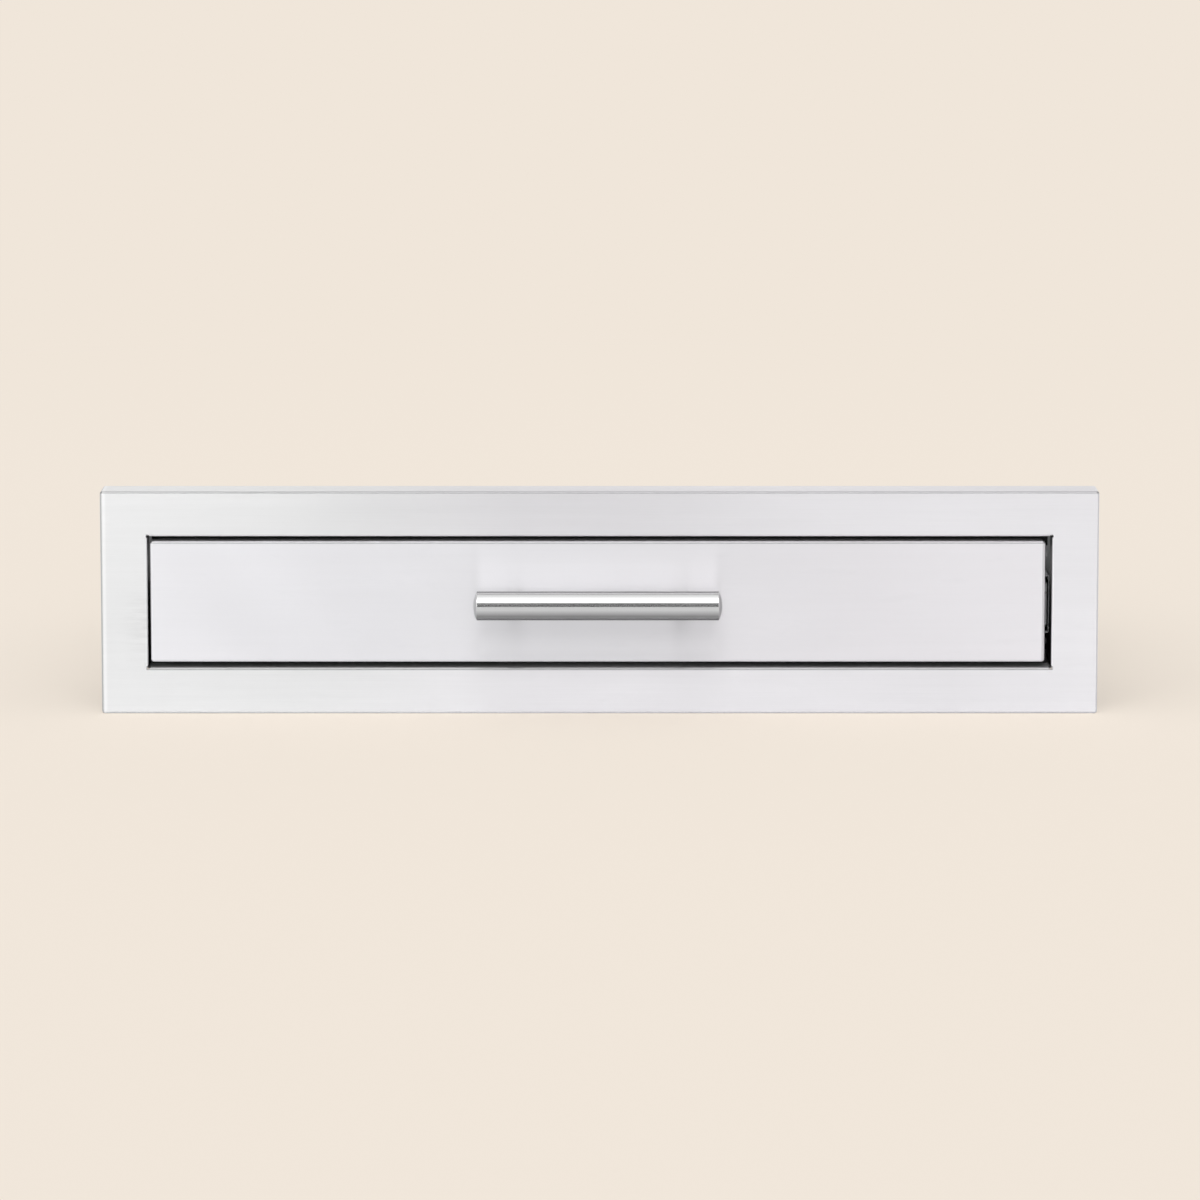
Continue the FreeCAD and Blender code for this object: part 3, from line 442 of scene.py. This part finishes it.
# Drawer front: a hollow panel set flush in the opening. The skin is brushed like the frame, rosier to the
# right, with faint slanting bands of tone at the left, painted shade on its flanges and along its top and
# right bends, and painted light above and below the handle. Its small hardware is plated steel.
skin_colour = (0.853, 0.845, 0.867, 1)
skin_right_colour = (0.812, 0.792, 0.814, 1)
hardware_colour = (0.56, 0.56, 0.55, 1)
slant_per_metre = (9.0, 0.0, 7.0)
slant_turns = 6.3
slant_depth = 0.012
slant_patch = ((-0.27, face_y, 0.05), (0.16, 1.0, 0.2))
skin_top_bend_z = (0.0980, 0.0988)
skin_right_bend_x = (0.3382, 0.3391)
flange_y = (-0.0300, -0.0270)
flange_painted_shade = 0.72
bar_middle_x = -0.0014
bar_light_edge_x = (0.0870, 0.0950)
light_above_bar_z = (0.060, 0.066, 0.074, 0.110)
light_below_bar_z = (0.010, 0.018, 0.020, 0.032)
skin_finish, tree, shader, place, tone = brushed_sheet(
    "brushed_front_skin", skin_colour, roughness=0.35, clouds=0.010, depth=0.5
)
across, back, up = split(tree, place)
slant_inputs = {0: place, 1: slant_per_metre}
slant = add(tree, "ShaderNodeVectorMath", slant_inputs, operation="DOT_PRODUCT").outputs["Value"]
bands = maths(tree, "SINE", times(tree, slant, slant_turns))
band_depth = times(tree, soft_patch(tree, place, *slant_patch), slant_depth)
tone = maths(tree, "ADD", tone, times(tree, bands, band_depth))
# Painted shade along the skin's top and right bends.
tone = times(tree, tone, painted_bend_tone(tree, up, back, *skin_top_bend_z, 0.0004, 0.50))
tone = times(tree, tone, painted_bend_tone(tree, across, back, *skin_right_bend_x, 0.0004, 0.24))
# Painted shade on the flanges behind the face, less on the top flange.
shaded_flange = ranged(tree, back, *flange_y, 0.0, flange_painted_shade, soft=True)
under_top = ranged(tree, up, 0.0990, 0.0980, 0.3, 1.0)
tone = times(tree, tone, less(tree, times(tree, shaded_flange, under_top)))
# Painted light behind the handle: a painted reflection of the bar above it, and lighter low down to lift the
# bar's shade.
from_bar = maths(tree, "ABSOLUTE", maths(tree, "ADD", across, -bar_middle_x))
behind_bar = ranged(tree, from_bar, *bar_light_edge_x, 1.0, 0.0, soft=True)
painted_light_above = times(tree, band(tree, up, *light_above_bar_z), 0.075)
painted_light_below = times(tree, band(tree, up, *light_below_bar_z), 0.05)
painted_bar_light = times(tree, maths(tree, "ADD", painted_light_above, painted_light_below), behind_bar)
tone = maths(tree, "ADD", tone, painted_bar_light)
to_right = ranged(tree, across, -0.10, 0.25, 0.0, 1.0, soft=True)
hue = mixed(tree, to_right, skin_colour, skin_right_colour)
feed(tree, shader, "Base Color", toned(tree, hue, tone))
put_on(skin_finish, "front_skin")
hardware_finish = turned_steel("plated_nut", hardware_colour, roughness=0.32)
put_on(hardware_finish, "front_weld_nuts", "front_fixing_screws")
put_on(hardware_finish, "handle_screws", "handle_washers", "handle_spacer_sleeves")

# Handle: a round stainless bar with domed ends on two short posts, screwed from inside the hollow front.
# The bar is finely polished along its length, so it shows the light and the floor as clear stripes. Its
# colour is darkened underneath as painted shade, and along the back of its top as a painted dark reflection.
bar_colour = (0.76, 0.76, 0.76, 1)
bar_edge_tint = (0.5, 0.5, 0.5, 1)
underside_painted_shade = 0.42
top_stripe_painted_shade = 0.50
post_colour = (0.42, 0.42, 0.42, 1)
bar_finish, tree, shader, place = start_finish(
    "satin_bar", bar_colour, metallic=1.0, roughness=0.12
)
shader.inputs["Specular Tint"].default_value = bar_edge_tint
lines = mottle(tree, stretched(tree, place, 10, 2600, 2600))
cloud = mottle(tree, stretched(tree, place, 14, 60, 60))
line_tone = ranged(tree, lines, 0.3, 0.7, 0.985, 1.012)
cloud_tone = ranged(tree, cloud, 0.3, 0.7, 0.985, 1.01)
_, facing_back, facing_up = facing(tree)
# Painted shade on the underside and a painted dark reflection along the back of the top.
painted_underside = ranged(tree, facing_up, -0.15, -0.60, 1.0, underside_painted_shade)
top_painted_band = ranged(tree, facing_up, 0.86, 0.97, 0.0, top_stripe_painted_shade)
painted_top_stripe = times(tree, top_painted_band, ranged(tree, facing_back, 0.08, 0.20, 1.0, 0.0))
tone = times(tree, line_tone, cloud_tone, painted_underside, less(tree, painted_top_stripe))
feed(tree, shader, "Base Color", toned(tree, bar_colour[:3], tone))
feed(tree, shader, "Roughness", ranged(tree, lines, 0.3, 0.7, 0.11, 0.13))
scored(tree, shader, lines, depth=0.000001, strength=0.3)
put_on(bar_finish, "handle_bar")
post_finish = turned_steel("turned_post", post_colour, roughness=0.36)
put_on(post_finish, "left_handle_post", "right_handle_post")

# Floor: a plain pale sheet under the drawer unit, level with the frame's lower edge. It keeps the soft
# shadow near the unit, and runs out into the even pale background.
floor_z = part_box("face_frame")[0].z
floor_width = 120
floor_seen = (0.865, 0.786, 0.696, 1)
floor_in_metal = (0.76, 0.76, 0.76, 1)
background = (0.871, 0.791, 0.701, 1)
shadow_reach = (1.2, 2.6)
bpy.ops.mesh.primitive_plane_add(size=floor_width, location=(0, 0, floor_z))
floor = bpy.context.object
floor.name = "studio_floor"
floor_finish, tree, shader, place = start_finish(
    "studio_floor", floor_seen, metallic=0.0, roughness=0.9
)
shader.inputs["Specular IOR Level"].default_value = 0.0
seen = add(tree, "ShaderNodeLightPath").outputs["Is Camera Ray"]
feed(tree, shader, "Base Color", mixed(tree, seen, floor_in_metal, floor_seen))
evenness = times(tree, ranged(tree, length(tree, place), *shadow_reach, 0.45, 1.0, soft=True), seen)
even = add(tree, "ShaderNodeEmission", {"Color": background, "Strength": 1.0}).outputs[0]
both = add(tree, "ShaderNodeMixShader", {0: evenness, 1: shader.outputs[0], 2: even}).outputs[0]
tree.links.new(both, tree.nodes["Material Output"].inputs[0])
floor.data.materials.append(floor_finish)

# Studio light: broad and soft in front, brightest high up, and dimmer at the sides, behind and overhead, with
# a narrow dark gap straight in front that shows as the dark stripe along the bar. Each side is a list of
# heights, from -1 straight down to 1 straight up, and how bright it is there.
front_light = [(-0.999, 0.8), (0.0, 1.9), (0.50, 1.9), (0.64, 2.7), (0.75, 3.0), (0.94, 1.6), (0.999, 1.0)]
left_light = [(-0.999, 0.8), (0.0, 1.05), (0.50, 1.05), (0.70, 1.0), (0.999, 1.0)]
right_light = [(-0.999, 0.8), (0.0, 0.7), (0.50, 0.7), (0.70, 1.0), (0.999, 1.0)]
back_light = [(-0.999, 0.8), (0.0, 0.9), (0.30, 0.9), (0.45, 0.6), (0.93, 0.6), (0.999, 1.0)]
gap_light = (0.015, 0.015, 0.015, 1)
gap_half_angle = (0.045, 0.085)
gap_top = (0.45, 0.65)
brightest = 4.0
world = bpy.data.worlds.new("studio")
bpy.context.scene.world = world
world.use_nodes = True
tree = world.node_tree
ways = split(tree, add(tree, "ShaderNodeTexCoord").outputs["Generated"])
height = ranged(tree, ways[2], -1.0, 1.0, 0.0, 1.0)


def light_by_height(stops):
    """How bright one side of the studio is at each height, as a share of the brightest it may be."""
    ramp = add(tree, "ShaderNodeValToRGB", {0: height})
    for at, level in stops:
        share = level / brightest
        ramp.color_ramp.elements.new((at + 1) / 2).color = (share, share, share, 1)
    ramp.color_ramp.elements.remove(ramp.color_ramp.elements[0])
    ramp.color_ramp.elements.remove(ramp.color_ramp.elements[-1])
    return ramp.outputs[0]


in_front = light_by_height(front_light)
at_left = light_by_height(left_light)
at_right = light_by_height(right_light)
behind = light_by_height(back_light)
around = maths(tree, "ARCTAN2", ways[0], times(tree, ways[1], -1.0))
light = mixed(tree, ranged(tree, around, 0.35, 0.60, 0.0, 1.0, soft=True), in_front, at_right)
light = mixed(tree, ranged(tree, around, -0.60, -0.80, 0.0, 1.0, soft=True), light, at_left)
light = mixed(tree, ranged(tree, ways[1], -0.15, 0.10, 0.0, 1.0, soft=True), light, behind)
gap_width = ranged(tree, maths(tree, "ABSOLUTE", around), *gap_half_angle, 1.0, 0.0, soft=True)
camera_gap = times(tree, gap_width, ranged(tree, ways[2], *gap_top, 1.0, 0.0, soft=True))
light = mixed(tree, camera_gap, light, gap_light)
seen = add(tree, "ShaderNodeLightPath").outputs["Is Camera Ray"]
background_share = [channel / brightest for channel in background[:3]]
sky = tree.nodes["Background"]
tree.links.new(mixed(tree, seen, light, (*background_share, 1)), sky.inputs["Color"])
sky.inputs["Strength"].default_value = brightest

# Camera: a long lens straight in front, about 8.5 degrees above the face, aimed a hair right of the middle
# of the face and above it.
face_centre = Vector((0.0, -0.03175, 0.05225))
aim = face_centre + Vector((0.0003, 0, 0.0021))
camera_distance = 4.927
camera_rise = math.radians(8.5)
film_width_mm = 36
lens_mm = 193.5
camera = bpy.data.objects.new("camera", bpy.data.cameras.new("camera"))
bpy.context.scene.collection.objects.link(camera)
camera.data.sensor_width = film_width_mm
camera.data.lens = lens_mm
camera.data.clip_end = 200
back_and_up = Vector((0, -math.cos(camera_rise), math.sin(camera_rise)))
camera.location = face_centre + back_and_up * camera_distance
camera.rotation_euler = (aim - camera.location).to_track_quat("-Z", "Y").to_euler()
bpy.context.scene.camera = camera
bpy.context.scene.view_settings.view_transform = "Standard"
